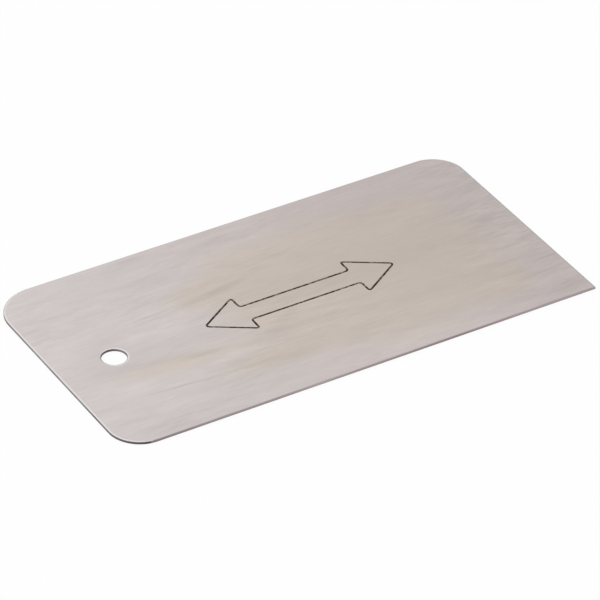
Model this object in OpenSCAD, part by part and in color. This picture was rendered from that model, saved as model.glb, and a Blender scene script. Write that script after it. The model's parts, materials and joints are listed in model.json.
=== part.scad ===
// Card scraper: one flat blade, cropped to length from ground spring-steel strip.
// The two long edges are the strip's own ground edges, square and sharp, and do the scraping.
// A press tool cuts both ends and the hanging hole from above, so their top rims are rolled over.
// The origin is at the middle of the underside: +X points to the tip, +Y to the rear edge, +Z up.

/* [Blade] */
// Length from the handle end to the tip end
blade_length = 125; // [100:1:160]
// Width across the two long working edges
blade_width = 65; // [45:1:90]
// Thickness of the steel strip
blade_thickness = 0.6; // [0.4:0.05:1.2]

/* [Corners] */
// Radius of the rear corner at the handle end
rear_handle_radius = 10; // [3:0.5:20]
// Radius of the front corner at the handle end
front_handle_radius = 8; // [3:0.5:20]
// Radius of the rear corner at the tip end, whose front corner stays sharp
rear_tip_radius = 8; // [3:0.5:20]

/* [Hanging hole] */
// Diameter of the hole that the blade hangs by
hole_diameter = 6; // [4:0.5:10]
// Distance from the handle end to the middle of the hole
hole_inset = 14.7; // [10:0.1:25]
// Distance of the hole in front of the blade's middle line
hole_offset = 0.8; // [0:0.1:5]

/* [Rolled rim] */
// Width of the rim that the press tool rolls over on the top face
roll_width = 0.5; // [0.2:0.05:0.6]
// Depth of that rim below the top face, at the cut itself
roll_depth = 0.1; // [0.04:0.01:0.12]

/* [Hidden] */

steel_colour = [0.80, 0.77, 0.75];

// How far every cut runs past the metal that it removes
overrun = 0.5;

// The three corners that the press tool rounds: side along X, side along Y, radius
rounded_corners = [
    [-1, 1, rear_handle_radius],
    [-1, -1, front_handle_radius],
    [1, 1, rear_tip_radius]
];

hole_radius = hole_diameter / 2;
hole_place = [hole_inset - blade_length / 2, -hole_offset];

// The straight stretches of the two cut ends, between their corners
handle_run = blade_width - rear_handle_radius - front_handle_radius;
tip_run = blade_width - rear_tip_radius;

// The rim's section is an arc from the top face down to the cut.
// An arc that just touched the top face would have the radius roll_touch; the real one is a
// little flatter, and roll_flatness_share says by how much.
roll_flatness_share = 1.2;
roll_chord = norm([roll_width, roll_depth]);
roll_touch = roll_chord * roll_chord / (2 * roll_depth);
roll_radius = roll_flatness_share * roll_touch;
roll_drop = sqrt(roll_radius * roll_radius - roll_chord * roll_chord / 4);
roll_centre = [
    -roll_width / 2 - roll_drop * roll_depth / roll_chord,
    -roll_depth / 2 - roll_drop * roll_width / roll_chord
];

$fn = 128;

// Puts what is drawn for the corner at +X and +Y, about its arc's centre, in a corner's place
module at_corner(corner) {
    translate([
        corner[0] * (blade_length / 2 - corner[2]),
        corner[1] * (blade_width / 2 - corner[2]),
        0
    ])
        mirror([1 - corner[0], 0, 0])
            mirror([0, 1 - corner[1], 0])
                children();
}

// The sliver of strip outside a rounded corner
module corner_waste(radius) {
    difference() {
        square(radius + overrun);
        circle(radius);
    }
}

// Outline of the blade: the strip's rectangle with three rounded corners and one sharp one
module blade_outline() {
    difference() {
        square([blade_length, blade_width], center = true);
        for (corner = rounded_corners)
            at_corner(corner)
                corner_waste(corner[2]);
    }
}

// Section of the metal that rolls away at a cut: what lies above the rim's arc. The cut is at
// x = 0 with the blade on its negative side, and the top face is at y = 0.
module roll_section() {
    translate(roll_centre)
        difference() {
            square([overrun - roll_centre[0], overrun - roll_centre[1]]);
            circle(roll_radius);
        }
}

// Rolled rim along a straight cut that faces +X and runs from y = 0 towards the front
module straight_roll(run) {
    rotate([90, 0, 0])
        linear_extrude(height = run)
            roll_section();
}

// Rolled rim round a corner arc
module corner_roll(radius) {
    rotate_extrude(angle = 90)
        translate([radius, 0])
            roll_section();
}

// Rolled rim round the hole, where the metal lies outside the cut
module hole_roll() {
    rotate_extrude()
        translate([hole_radius, 0])
            mirror([1, 0, 0])
                roll_section();
}

// Every rolled rim, in its place on the top face
module rolled_rims() {
    translate([0, 0, blade_thickness]) {
        for (corner = rounded_corners)
            at_corner(corner)
                corner_roll(corner[2]);
        translate([blade_length / 2, blade_width / 2 - rear_tip_radius, 0])
            straight_roll(tip_run + overrun);
        translate([-blade_length / 2, blade_width / 2 - rear_handle_radius, 0])
            mirror([1, 0, 0])
                straight_roll(handle_run);
        translate(hole_place)
            hole_roll();
    }
}

// The whole scraper is this one sheet of steel
module scraper_blade() {
    color(steel_colour)
        difference() {
            linear_extrude(height = blade_thickness)
                blade_outline();
            translate([hole_place[0], hole_place[1], -overrun])
                cylinder(h = blade_thickness + 2 * overrun, r = hole_radius);
            rolled_rims();
        }
}

scraper_blade();
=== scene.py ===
import json
import math

import bmesh
import bpy
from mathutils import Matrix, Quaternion, Vector


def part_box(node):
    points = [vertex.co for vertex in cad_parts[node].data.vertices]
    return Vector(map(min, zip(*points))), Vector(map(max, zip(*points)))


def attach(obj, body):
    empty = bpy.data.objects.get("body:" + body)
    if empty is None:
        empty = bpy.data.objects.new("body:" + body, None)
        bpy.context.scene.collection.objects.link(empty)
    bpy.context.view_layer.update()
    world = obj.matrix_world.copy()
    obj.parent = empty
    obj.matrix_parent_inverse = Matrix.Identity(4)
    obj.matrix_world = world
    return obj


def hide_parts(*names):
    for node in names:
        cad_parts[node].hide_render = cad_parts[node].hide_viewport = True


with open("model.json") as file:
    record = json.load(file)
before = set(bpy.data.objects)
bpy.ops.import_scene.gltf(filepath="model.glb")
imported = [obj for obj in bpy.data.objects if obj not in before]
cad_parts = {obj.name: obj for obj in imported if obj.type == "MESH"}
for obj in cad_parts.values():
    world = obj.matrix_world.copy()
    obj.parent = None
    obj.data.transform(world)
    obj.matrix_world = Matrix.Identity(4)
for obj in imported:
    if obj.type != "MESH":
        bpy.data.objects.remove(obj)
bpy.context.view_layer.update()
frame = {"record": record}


# Blade
# One sheet of hard-rolled spring steel, cropped to length from strip whose two long edges are
# ground square and sharp. A press tool cuts the two ends, three of the corners and the hanging
# hole from above, and rolls the top rim of each cut over. A mark is etched in the top face.
mm = 0.001
half_length, half_width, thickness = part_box("scraper_blade")[1]
corner_radii = {(-1, 1): 10 * mm, (-1, -1): 8 * mm, (1, 1): 8 * mm}
corner_segments = 24

hanging_hole = next(mount for mount in frame["record"]["mounts"] if mount["name"] == "hanging_hole")
hole_centre = Vector((hanging_hole["pos_m"][0], hanging_hole["pos_m"][1], 0))
hole_radius = hanging_hole["dims"]["r_mm"] * mm
hole_segments = 96

roll_width = 0.5 * mm
roll_depth = 0.1 * mm
roll_steps = 8
# The steps next to the cut are torn dark like the wall, and the others are burnished
torn_steps = 3
# How far round a corner the rim is still fading in, as a share of the corner's radius
roll_fade = 0.5
# How far in from the long edges grinding reaches round the corners
ground_reach = 0.12 * mm

# The finishes of the mesh's faces, in the order of its material slots
finishes = ["brushed", "torn", "burnished", "ground", "etched"]

mark_centre = Vector((1.4 * mm, -1 * mm, 0))
mark_half_length = 26 * mm
mark_half_height = 7.2 * mm
mark_head_length = 11.5 * mm
mark_shaft_half_height = 3 * mm
mark_stroke = 0.54 * mm
mark_depth = 0.02 * mm
mark_corner = 1.5 * mm
mark_hollow_corner = 0.6 * mm
mark_corner_segments = 6

# Points of the mesh that are closer than this are merged, and edges that turn more are sharp
merge_distance = 0.0001 * mm
sharp_angle = math.radians(40)


def strip_outline(bm):
    """The blade's outer edge on the underside: the cropped strip with three rounded corners."""
    bmesh.ops.create_grid(bm, x_segments=1, y_segments=1, size=1)
    bmesh.ops.scale(bm, vec=(half_length, half_width, 1), verts=bm.verts)
    for (side_x, side_y), radius in corner_radii.items():
        corner = max(bm.verts, key=lambda point: point.co.x * side_x + point.co.y * side_y)
        bmesh.ops.bevel(bm, geom=[corner], offset=radius, offset_type="OFFSET",
                        segments=corner_segments, profile=0.5, affect="VERTICES", material=-1)
    # The tip end's rim fades out between the sharp corner and one more point on the front edge
    sharp_corner = max(bm.verts, key=lambda point: point.co.x - point.co.y)
    front_edge = max(sharp_corner.link_edges, key=lambda edge: edge.calc_length())
    bmesh.utils.edge_split(front_edge, sharp_corner, 2 * roll_width / front_edge.calc_length())
    bmesh.ops.delete(bm, geom=bm.faces[:], context="FACES_ONLY")
    return bm.edges[:]


def hole_outline(bm):
    """The hanging hole's edge on the underside."""
    made = bmesh.ops.create_circle(bm, segments=hole_segments, radius=hole_radius)
    bmesh.ops.translate(bm, vec=hole_centre, verts=made["verts"])
    points = set(made["verts"])
    return [edge for edge in bm.edges if points.issuperset(edge.verts)]


def edge_lean(place):
    """Which way the outer edge's rim leans into the blade at a place, and how far it is rolled:
    fully along the cut ends, not at all on the ground long edges."""
    side_x = math.copysign(1, place.x)
    side_y = math.copysign(1, place.y)
    radius = corner_radii.get((side_x, side_y), 0)
    past_x = max(abs(place.x) - half_length + radius, 0)
    past_y = max(abs(place.y) - half_width + radius, 0) if radius else 0
    fade = max(roll_fade * radius, roll_width)
    share = min(max(abs(place.x) - half_length + max(radius, roll_width), 0) / fade, 1)
    if past_x == past_y == 0:
        past_x = 1
    lean = -Vector((side_x * past_x, side_y * past_y, 0)).normalized()
    return lean * share, share


def hole_lean(place):
    """The hole's rim leans away from its centre and is fully rolled all round."""
    lean = Vector((place.x, place.y, 0)) - hole_centre
    return lean.normalized(), 1


def raised(bm, ring, finish):
    """Extrudes a closed ring of edges, gives the new faces a finish, and returns the new ring,
    which is still in the same place."""
    made = bmesh.ops.extrude_edge_only(bm, edges=ring)["geom"]
    points = {piece for piece in made if isinstance(piece, bmesh.types.BMVert)}
    for face in (piece for piece in made if isinstance(piece, bmesh.types.BMFace)):
        face.material_index = finishes.index(finish)
        face.smooth = True
    edges = [piece for piece in made if isinstance(piece, bmesh.types.BMEdge)]
    return [edge for edge in edges if points.issuperset(edge.verts)]


def pressed_cut(bm, ring, lean_at):
    """Raises a wall from a ring on the underside, rolls its top rim over, and returns the ring
    where the rim meets the top face."""
    rings = [raised(bm, ring, "torn")]
    for step in range(roll_steps):
        rings.append(raised(bm, rings[-1], "torn" if step < torn_steps else "burnished"))
    for step, edges in enumerate(rings):
        turn = math.radians(90) * step / roll_steps
        for point in {point for edge in edges for point in edge.verts}:
            lean, share = lean_at(point.co)
            point.co += lean * roll_width * (1 - math.cos(turn))
            point.co.z = thickness - share * roll_depth * (1 - math.sin(turn))
    return rings[-1]


def etched_mark(bm):
    """Sinks the outline of a double-headed arrow, which shows the way the steel is brushed, into
    the top face. Returns its outer edge and the faces of its floor."""
    head_root = mark_half_length - mark_head_length
    quarter = [(head_root, mark_shaft_half_height), (head_root, mark_half_height)]
    right = [(x, -y) for x, y in quarter] + [(mark_half_length, 0)] + quarter[::-1]
    corners = right + [(-x, -y) for x, y in right]
    places = [mark_centre + Vector((x, y, thickness)) for x, y in corners]
    points = [bm.verts.new(place) for place in places]
    bm.faces.new(points)
    # Each half has five corners: the first and the last are hollow, and the others jut out
    hollow = points[0::5] + points[4::5]
    jutting = points[1::5] + points[2::5] + points[3::5]
    for rounded, offset in ((hollow, mark_hollow_corner), (jutting, mark_corner)):
        bmesh.ops.bevel(bm, geom=rounded, offset=offset, offset_type="OFFSET",
                        segments=mark_corner_segments, profile=0.5, affect="VERTICES",
                        material=-1)
    arrow = max(bm.faces, key=lambda face: len(face.verts))
    band = bmesh.ops.inset_region(bm, faces=[arrow], thickness=mark_stroke,
                                  use_boundary=True, use_even_offset=True)["faces"]
    rim = [edge for face in band for edge in face.edges if edge.is_boundary]
    made = bmesh.ops.extrude_face_region(bm, geom=band)["geom"]
    floor = [piece for piece in made if isinstance(piece, bmesh.types.BMFace)]
    bmesh.ops.delete(bm, geom=band, context="FACES")
    sunk = [piece for piece in made if isinstance(piece, bmesh.types.BMVert)]
    bmesh.ops.translate(bm, vec=(0, 0, -mark_depth), verts=sunk)
    bmesh.ops.triangulate(bm, faces=[arrow])
    return rim, floor


def put_in_order(pieces, place_of):
    """Sorts the points, edges or faces of the mesh. Extruding makes the same ones in each run, but
    in another order, and the sorted mesh is the same each time."""
    ranks = {piece: rank for rank, piece in enumerate(sorted(pieces, key=place_of))}
    pieces.sort(key=ranks.get)
    pieces.index_update()


def add_node(tree, kind, inputs=None, **settings):
    """Adds a shader node, with its settings and with its inputs set or linked."""
    node = tree.nodes.new("ShaderNode" + kind)
    for name, value in settings.items():
        setattr(node, name, value)
    for name, value in (inputs or {}).items():
        if isinstance(value, bpy.types.NodeSocket):
            tree.links.new(value, node.inputs[name])
        else:
            node.inputs[name].default_value = value
    return node


def stretched_noise(tree, place, size, detail=2, roughness=0.6):
    """Noise whose blotches are about this long along X, Y and Z, in metres."""
    fitted = add_node(tree, "Mapping", {"Vector": place, "Scale": [1 / length for length in size]})
    noise = add_node(tree, "TexNoise", {"Vector": fitted.outputs[0], "Scale": 1.0,
                                        "Detail": detail, "Roughness": roughness})
    return noise.outputs["Fac"]


def multiply(tree, value, factor):
    """value * factor, either of which may be a socket or a number."""
    return add_node(tree, "Math", {0: value, 1: factor}, operation="MULTIPLY").outputs[0]


def multiply_add(tree, value, factor, addend):
    """value * factor + addend, any of which may be a socket or a number."""
    added = add_node(tree, "Math", {0: value, 1: factor, 2: addend}, operation="MULTIPLY_ADD")
    return added.outputs[0]


def rescaled(tree, value, old_range, new_range=(0.0, 1.0)):
    """The value, moved evenly from one range to another and kept within it."""
    return add_node(tree, "MapRange", {"Value": value,
                                       "From Min": old_range[0], "From Max": old_range[1],
                                       "To Min": new_range[0], "To Max": new_range[1]}).outputs[0]


def blend(tree, share, plain, other, clamped=True):
    """A colour between two others. Where it isn't clamped, a share past 0 or 1 goes past them."""
    mix = add_node(tree, "Mix", {"Factor": share, "A": plain, "B": other}, data_type="RGBA",
                   clamp_factor=clamped)
    return mix.outputs["Result"]


def soft_spot(tree, place, middle, size, tilt=0):
    """1 at the middle of an ellipse on the blade, falling evenly to 0 at its rim. The middle and
    the half sizes are X and Y in mm, and the tilt is in degrees."""
    fitted = add_node(tree, "Mapping", {"Vector": place,
                                        "Location": (middle[0] * mm, middle[1] * mm, 0),
                                        "Rotation": (0, 0, math.radians(tilt)),
                                        "Scale": (size[0] * mm, size[1] * mm, 1)},
                      vector_type="TEXTURE").outputs[0]
    spot = add_node(tree, "TexGradient", {"Vector": fitted}, gradient_type="SPHERICAL")
    return spot.outputs["Fac"]


def steel_material(name, roughness, anisotropic=0.0):
    """A bare steel material, its node tree and its shader."""
    material = bpy.data.materials.new(name)
    material.use_nodes = True
    shader = material.node_tree.nodes["Principled BSDF"]
    shader.inputs["Metallic"].default_value = 1.0
    shader.inputs["Roughness"].default_value = roughness
    shader.inputs["Anisotropic"].default_value = anisotropic
    return material, material.node_tree, shader


# Length, width and depth of what brushing left on the satin face, and how far its grain wanders
cloud_size = (60 * mm, 14 * mm, 40 * mm)
streak_size = (20 * mm, 3.4 * mm, 20 * mm)
hairline_size = (7 * mm, 0.08 * mm, 20 * mm)
hairline_height = 0.008 * mm
grain_drift = 4 * mm
# How strongly the streaks show where they are faintest and where they are liveliest
streak_strength = (0.22, 0.61)
# Smears on the satin face: middle X and Y, half length and half width in mm, tilt in degrees,
# and how much darker the middle is, or lighter where it is below 0
soft_smears = [
    (-15, 9.8, 15, 1.7, 8, 0.11),
    (-34, 8.9, 8, 0.4, 2, 0.11),
    (-33, 7.4, 6, 0.3, 4, 0.07),
    (-41, -7.5, 18, 1.8, -8, 0.07),
    (-29, -10, 7, 1.2, -3, 0.11),
    (-8, -10.8, 20, 1.6, 0, 0.05),
    (-40, -18, 11, 0.6, -5, 0.12),
    (-24, -19, 12, 0.9, -3, 0.09),
    (-12, -20.6, 12, 2.6, 0, 0.07),
    (-27, 30.7, 6, 0.9, 0, 0.09),
    (-53, 19.3, 8, 0.8, -3, 0.09),
    (4, 15.6, 6, 1.0, 0, 0.05),
    (55, 10, 9, 0.8, 0, 0.05),
    (54, -4, 10, 0.8, 0, 0.08),
    (56, -8.5, 8, 0.7, 0, 0.09),
    (60, -16.5, 6, 0.8, 0, 0.08),
    (54, -21.3, 9, 0.7, 2, 0.08),
    (57, -29.5, 10, 1.8, 5, 0.10),
    (-33, 3.5, 16, 4.5, 0, -0.05),
    (-50, -14, 7, 2.5, 0, -0.05),
    (-24, -13.8, 13, 2.0, 0, -0.05),
    (28, -30, 60, 16, 0, -0.07),
    (-48, -1, 18, 10, 0, 0.05),
    (-48, 4.5, 9, 4, 0, 0.06),
    (-54, -29, 13, 6, 0, 0.05),
    (4, 3, 44, 36, 0, 0.045),
]
# Where the streaks are livelier, or calmer where the last value is below 0: middle X and Y, half
# length and half width in mm, and how much
streak_spots = [
    (28, 0, 34, 60, -0.8),
    (62, 14, 18, 28, 0.8),
    (-40, 8, 16, 12, -0.4),
    (38, -26, 20, 14, -0.35),
]
# Where the steel is tinted straw: middle X and Y, half length and half width in mm, tilt in
# degrees, and how strongly
straw_spots = [
    (18, -1.5, 45, 33, 0, 3.3),
    (-37, -9.8, 25, 5.5, -6, 1.4),
    (-19, 11, 14, 8, 0, 1.5),
    (-18, -19, 20, 6, 0, 1.5),
    (-8, 20, 14, 8, 0, 0.7),
    (45, -21, 12, 9, 0, 1.2),
    (44, 19, 14, 10, 0, 0.6),
]
# How far in from the front edge grinding has dulled the face, and how much darker the edge is
dulled_width = 0.35 * mm
dulled_depth = 0.36
handle_steel = (0.615, 0.566, 0.554, 1)
tip_steel = (0.62, 0.549, 0.53, 1)
straw_steel = (0.622, 0.551, 0.493, 1)


def brushed_face():
    """The strip's satin face. Its grain runs along the length and wanders a little; it has long
    streaks, fine hairlines and a straw tint in the middle and beside the hole, and grinding has
    dulled it along the front edge."""
    material, tree, shader = steel_material("brushed_steel", 0.36, anisotropic=0.5)
    place = add_node(tree, "TexCoord").outputs["Object"]
    drift = stretched_noise(tree, place, (45 * mm, 22 * mm, 40 * mm), detail=1)
    grain = add_node(tree, "VectorMath", {0: drift, 1: (0, grain_drift, 0), 2: place},
                     operation="MULTIPLY_ADD").outputs[0]
    clouds = stretched_noise(tree, grain, cloud_size, detail=1)
    streaks = stretched_noise(tree, grain, streak_size, detail=5, roughness=0.8)
    hairlines = stretched_noise(tree, grain, hairline_size)

    lively = stretched_noise(tree, place, (36 * mm, 20 * mm, 40 * mm), detail=1)
    lively = rescaled(tree, lively, (0.35, 0.65), streak_strength)
    share = 1.0
    for x, y, length, width, livelier in streak_spots:
        share = multiply_add(tree, soft_spot(tree, place, (x, y), (length, width)), livelier, share)
    lively = multiply(tree, lively, share)

    tone = multiply_add(tree, clouds, 0.14, 0.922)
    tone = multiply_add(tree, multiply_add(tree, streaks, 1, -0.5), lively, tone)
    tone = multiply_add(tree, hairlines, 0.4, multiply_add(tree, tone, 1, -0.2))
    for x, y, length, width, tilt, depth in soft_smears:
        smear = multiply(tree, soft_spot(tree, place, (x, y), (length, width), tilt), streaks)
        tone = multiply_add(tree, smear, -2 * depth, tone)
    axes = add_node(tree, "SeparateXYZ", {"Vector": place}).outputs
    dulled = rescaled(tree, axes["Y"], (-half_width, dulled_width - half_width), (-dulled_depth, 0.0))
    tone = add_node(tree, "Math", {0: tone, 1: dulled}).outputs[0]

    to_tip = rescaled(tree, axes["X"], (-half_length, half_length))
    bare_steel = blend(tree, to_tip, handle_steel, tip_steel)
    straw = multiply_add(tree, streaks, 0.6, multiply_add(tree, clouds, 0.4, -0.78))
    for x, y, length, width, tilt, strength in straw_spots:
        spot = soft_spot(tree, place, (x, y), (length, width), tilt)
        straw = multiply_add(tree, spot, strength, straw)
    tint = blend(tree, straw, bare_steel, straw_steel)
    colour = add_node(tree, "VectorMath", {0: tint, "Scale": tone}, operation="SCALE")
    tree.links.new(colour.outputs[0], shader.inputs["Base Color"])

    roughness = multiply_add(tree, streaks, 0.10, multiply_add(tree, hairlines, 0.10, 0.27))
    tree.links.new(roughness, shader.inputs["Roughness"])
    bump = add_node(tree, "Bump", {"Height": hairlines, "Strength": 0.5, "Distance": hairline_height})
    tree.links.new(bump.outputs[0], shader.inputs["Normal"])
    across = add_node(tree, "CombineXYZ", {"X": 0.0, "Y": 1.0, "Z": 0.0})
    tree.links.new(across.outputs[0], shader.inputs["Tangent"])
    return material


torn_dark = (0.12, 0.103, 0.112, 1)
# The pale end of the torn wall's tone serves its fine marks and also its painted light
torn_pale_and_painted_light = (0.36, 0.345, 0.345, 1)


def torn_cut_steel():
    """The wall below a rolled rim, where the press tool tore through: dark, with fine upright
    marks, and with painted shade round the front handle corner. Painted light makes it lighter in
    patches along the handle end and on the hole's tip side, where the wall faces the light."""
    material, tree, shader = steel_material("torn_steel", 0.5)
    place = add_node(tree, "TexCoord").outputs["Object"]
    marks = stretched_noise(tree, place, (0.25 * mm, 0.25 * mm, 4 * mm), detail=3)
    patches = stretched_noise(tree, place, (5 * mm, 5 * mm, 2 * mm))
    # Painted light: the wall along the handle end and on the hole's tip side faces the light and is
    # lighter
    painted_light_handle_end = soft_spot(tree, place, (-half_length / mm, 0), (12, 38))
    painted_light_hole_tip_side = soft_spot(tree, place, (-44.8, 0.6), (3, 3))
    # Painted shade: the wall is darker round the front handle corner
    painted_shade_front_corner = soft_spot(tree, place, (-57, -32), (6, 6))
    lightness = multiply_add(tree, marks, 0.3, -0.1)
    # Painted light in patches along the handle end, and beside the hole on its tip side
    lightness = multiply_add(tree, multiply(tree, painted_light_handle_end, patches), 1.6, lightness)
    lightness = multiply_add(tree, painted_light_hole_tip_side, 0.6, lightness)
    # Painted shade round the front handle corner
    lightness = multiply_add(tree, painted_shade_front_corner, -0.2, lightness)
    tone = blend(tree, lightness, torn_dark, torn_pale_and_painted_light, clamped=False)
    tree.links.new(tone, shader.inputs["Base Color"])
    bump = add_node(tree, "Bump", {"Height": marks, "Strength": 0.5, "Distance": 0.02 * mm})
    tree.links.new(bump.outputs[0], shader.inputs["Normal"])
    return material


rolled_dull = (0.58, 0.55, 0.545, 1)
rolled_bright = (0.69, 0.66, 0.655, 1)


def rolled_rim_steel():
    """The rim that the press tool rolls over, burnished brighter than the satin face. It has a
    painted highlight at the hole's front and painted shade on the hole's handle side."""
    material, tree, shader = steel_material("rolled_steel", 0.25)
    place = add_node(tree, "TexCoord").outputs["Object"]
    rubs = stretched_noise(tree, place, (1.5 * mm, 1.5 * mm, 1 * mm), detail=3)
    # Painted highlight on the rim at the hole's front, and painted shade on the hole's handle side
    painted_highlight_hole_front = soft_spot(tree, place, (-49.5, -3.6), (3, 2))
    painted_shade_hole_handle_side = soft_spot(tree, place, (-50.7, 0.9), (2, 3))
    # Painted highlight at the hole's front, then painted shade on the hole's handle side
    lightness = multiply_add(tree, painted_highlight_hole_front, 1.6, rubs)
    lightness = multiply_add(tree, painted_shade_hole_handle_side, -1.0, lightness)
    tone = blend(tree, lightness, rolled_dull, rolled_bright, clamped=False)
    tree.links.new(tone, shader.inputs["Base Color"])
    roughness = multiply_add(tree, rubs, 0.2, 0.15)
    tree.links.new(roughness, shader.inputs["Roughness"])
    return material


# Where the front long edge is lighter, or darker where the last value is below 0: middle X and
# half length in mm, and how much
ground_spots = [
    (-56.5, 16, -0.42),
    (-12, 11, 0.3),
    (23, 17, -0.3),
    (52, 26, 0.2),
]
ground_dark = (0.224, 0.186, 0.196, 1)
ground_light = (0.448, 0.387, 0.397, 1)


def ground_edge_steel():
    """The strip's long edges, ground square with fine marks along their length, and with lighter
    and darker stretches along the front one."""
    material, tree, shader = steel_material("ground_steel", 0.4)
    place = add_node(tree, "TexCoord").outputs["Object"]
    marks = stretched_noise(tree, place, (6 * mm, 6 * mm, 0.05 * mm), detail=3)
    lightness = marks
    for x, length, lighter in ground_spots:
        spot = soft_spot(tree, place, (x, -half_width / mm), (length, 4))
        lightness = multiply_add(tree, spot, lighter, lightness)
    tone = blend(tree, lightness, ground_dark, ground_light, clamped=False)
    tree.links.new(tone, shader.inputs["Base Color"])
    bump = add_node(tree, "Bump", {"Height": marks, "Strength": 0.4, "Distance": 0.01 * mm})
    tree.links.new(bump.outputs[0], shader.inputs["Normal"])
    return material


dark_oxide = (0.034, 0.014, 0.005, 1)
thin_oxide = (0.30, 0.25, 0.215, 1)


def mark_oxide():
    """The dark oxide that etching leaves in the mark's groove. It is thin in places."""
    material, tree, shader = steel_material("mark_oxide", 0.6)
    shader.inputs["Metallic"].default_value = 0.0
    shader.inputs["Specular IOR Level"].default_value = 0.1
    place = add_node(tree, "TexCoord").outputs["Object"]
    grains = stretched_noise(tree, place, (0.9 * mm, 0.9 * mm, 1 * mm), detail=3, roughness=0.7)
    thinness = rescaled(tree, grains, (0.47, 0.67))
    tone = blend(tree, thinness, dark_oxide, thin_oxide)
    tree.links.new(tone, shader.inputs["Base Color"])
    return material


bm = bmesh.new()
outer_edge = strip_outline(bm)
hole_edge = hole_outline(bm)
outer_rim = pressed_cut(bm, outer_edge, edge_lean)
hole_rim = pressed_cut(bm, hole_edge, hole_lean)
cut_faces = bm.faces[:]
mark_rim, mark_floor = etched_mark(bm)
mark_faces = {face for edge in mark_rim for face in edge.link_faces} | set(mark_floor)
bmesh.ops.triangle_fill(bm, edges=outer_edge + hole_edge, use_beauty=True, normal=(0, 0, -1))
bmesh.ops.triangle_fill(bm, edges=outer_rim + hole_rim + mark_rim, use_beauty=True, normal=(0, 0, 1))
bmesh.ops.recalc_face_normals(bm, faces=bm.faces)
for face in cut_faces:
    if abs(face.calc_center_median().y) > half_width - ground_reach:
        face.material_index = finishes.index("ground")
for face in mark_faces:
    face.material_index = finishes.index("etched")
bmesh.ops.remove_doubles(bm, verts=bm.verts, dist=merge_distance)
put_in_order(bm.verts, lambda point: point.co[:])
put_in_order(bm.edges, lambda edge: sorted(point.index for point in edge.verts))
put_in_order(bm.faces, lambda face: sorted(point.index for point in face.verts))
for edge in bm.edges:
    edge.smooth = edge.calc_face_angle(0) < sharp_angle
mesh = bpy.data.meshes.new("steel_blade")
bm.to_mesh(mesh)
bm.free()
for make_material in (brushed_face, torn_cut_steel, rolled_rim_steel, ground_edge_steel, mark_oxide):
    mesh.materials.append(make_material())
blade = bpy.data.objects.new("steel_blade", mesh)
bpy.context.scene.collection.objects.link(blade)
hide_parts("scraper_blade")
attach(blade, "root")


# Floor
# A plain white sheet that the blade lies on. It is a hair below the underside, so that the two
# don't share a plane, and it is nearly as bright as white paper to the camera and in the steel.
floor_size = 6
floor_gap = 0.02 * mm
floor_glow = 0.9
floor_white = (0.92, 0.92, 0.92, 1)
bpy.ops.mesh.primitive_plane_add(size=floor_size, location=(0, 0, -floor_gap))
floor = bpy.context.object
floor.name = "floor"
paper = bpy.data.materials.new("white_paper")
paper.use_nodes = True
tree = paper.node_tree
tree.nodes.clear()
rays = add_node(tree, "LightPath").outputs
seen = add_node(tree, "Math", {0: rays["Is Camera Ray"], 1: rays["Is Glossy Ray"]}).outputs[0]
seen = add_node(tree, "Math", {0: seen, 1: rays["Is Transmission Ray"]}).outputs[0]
glow_share = multiply(tree, seen, floor_glow)
matt = add_node(tree, "BsdfDiffuse", {"Color": floor_white}).outputs[0]
glow = add_node(tree, "Emission", {"Color": (1, 1, 1, 1), "Strength": 1.0}).outputs[0]
sheet = add_node(tree, "MixShader", {0: glow_share, 1: matt, 2: glow}).outputs[0]
add_node(tree, "OutputMaterial", {"Surface": sheet})
floor.data.materials.append(paper)


# Studio light
# A pale room, dimmer on the tip's side, and one large soft lamp behind the blade, a little to the
# handle's side, that the satin face mirrors towards the camera.
room_light = 0.87
tip_side_light = 0.5
world = bpy.data.worlds.new("pale_room")
bpy.context.scene.world = world
world.use_nodes = True
background = world.node_tree.nodes["Background"]
background.inputs["Color"].default_value = (1, 1, 1, 1)
direction = add_node(world.node_tree, "TexCoord").outputs["Generated"]
tip_side = add_node(world.node_tree, "SeparateXYZ", {"Vector": direction}).outputs["X"]
wall_light = rescaled(world.node_tree, tip_side, (0.3, 0.9), (room_light, tip_side_light))
world.node_tree.links.new(wall_light, background.inputs["Strength"])


def soft_lamp(name, place, aim, width, height, radiance):
    """A soft rectangular lamp at a place, turned to its aim, of this brightness as it is seen."""
    lamp = bpy.data.lights.new(name, "AREA")
    lamp.shape = "RECTANGLE"
    lamp.size = width
    lamp.size_y = height
    lamp.energy = radiance * math.pi * width * height
    lamp_object = bpy.data.objects.new(name, lamp)
    lamp_object.location = place
    lamp_object.rotation_euler = (Vector(aim) - Vector(place)).to_track_quat("-Z", "Y").to_euler()
    lamp_object.visible_camera = False
    bpy.context.scene.collection.objects.link(lamp_object)


soft_lamp("rear_lamp", place=(-0.17, 0.35, 0.35), aim=(-0.17, 0.35, 0),
          width=0.82, height=1.1, radiance=0.335)


# Camera
# About a metre away, looking down through a long lens over the handle end's front corner. It is
# tilted sideways by about a degree.
camera_aim = Vector((0.186 * mm, -2.797 * mm, 0.6 * mm))
camera_azimuth = math.radians(-121.75)
camera_elevation = math.radians(35.52)
camera_distance = 1022.94 * mm
camera_roll = math.radians(1.081)
camera_lens = 265.65
away = Vector((math.cos(camera_azimuth) * math.cos(camera_elevation),
               math.sin(camera_azimuth) * math.cos(camera_elevation),
               math.sin(camera_elevation)))
camera_data = bpy.data.cameras.new("camera")
camera_data.lens = camera_lens
camera = bpy.data.objects.new("camera", camera_data)
camera.location = camera_aim + away * camera_distance
level = (-away).to_track_quat("-Z", "Y")
camera.rotation_euler = (level @ Quaternion((0, 0, 1), camera_roll)).to_euler()
bpy.context.scene.collection.objects.link(camera)
bpy.context.scene.camera = camera

bpy.context.scene.view_settings.view_transform = "Standard"
